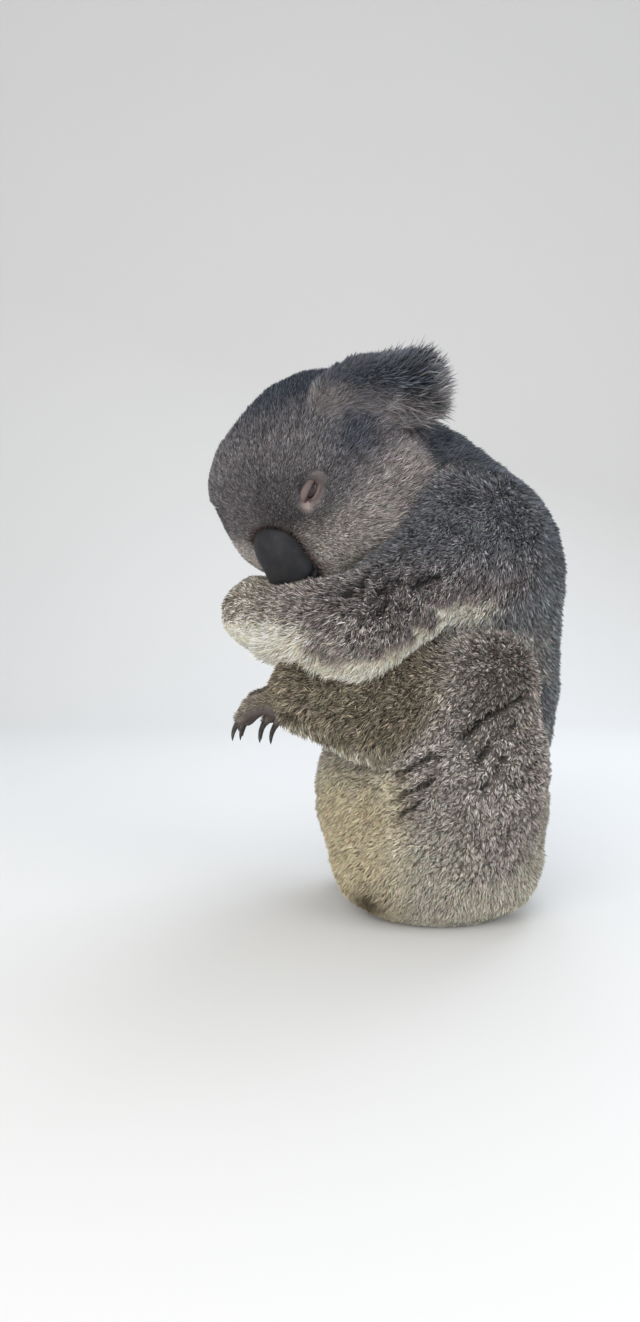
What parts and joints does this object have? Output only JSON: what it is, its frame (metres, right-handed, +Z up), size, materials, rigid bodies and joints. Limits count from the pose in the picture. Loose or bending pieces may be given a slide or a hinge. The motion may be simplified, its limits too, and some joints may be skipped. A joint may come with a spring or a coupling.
{
  "type": "koala",
  "caption": "Life-size still model of a koala asleep sitting up, its chin on a folded arm and its knees drawn up.",
  "frame": {"origin": "on the floor, on the flat of the rump, under the belly", "axes": "+Z up, the koala faces -X and its left side is towards -Y"},
  "size_m": [0.2916, 0.2818, 0.4353],
  "materials": {
    "coat_grey": "dense matte grey fur",
    "coat_dark": "dense matte dark grey fur",
    "coat_pale": "dense matte cream fur",
    "nose_leather": "bare matte leather",
    "eye_brown": "wet gloss",
    "claw_black": "smooth horn"
  },
  "bodies": {
    "root": {"belly": "coat_grey", "chest": "coat_grey", "claw_foot_l_2": "claw_black", "claw_foot_l_3": "claw_black", "claw_foot_l_4": "claw_black", "claw_foot_l_5": "claw_black", "claw_foot_r_2": "claw_black", "claw_foot_r_3": "claw_black", "claw_foot_r_4": "claw_black", "claw_foot_r_5": "claw_black", "claw_hand_l_1": "claw_black", "claw_hand_l_2": "claw_black", "claw_hand_l_3": "claw_black", "claw_hand_l_4": "claw_black", "claw_hand_l_5": "claw_black", "claw_hand_r_1": "claw_black", "claw_hand_r_2": "claw_black", "claw_hand_r_3": "claw_black", "claw_hand_r_4": "claw_black", "claw_hand_r_5": "claw_black", "ear_l": "coat_dark", "ear_r": "coat_dark", "eye_l": "eye_brown", "eye_r": "eye_brown", "foot_l": "coat_grey", "foot_r": "coat_grey", "forearm_l": "coat_grey", "forearm_r": "coat_grey", "hand_l": "coat_grey", "hand_r": "coat_grey", "head": "coat_grey", "neck": "coat_dark", "nose": "nose_leather", "rump": "coat_pale", "shank_l": "coat_grey", "shank_r": "coat_grey", "thigh_l": "coat_grey", "thigh_r": "coat_grey", "upper_arm_l": "coat_grey", "upper_arm_r": "coat_grey"}
  },
  "joints": []
}
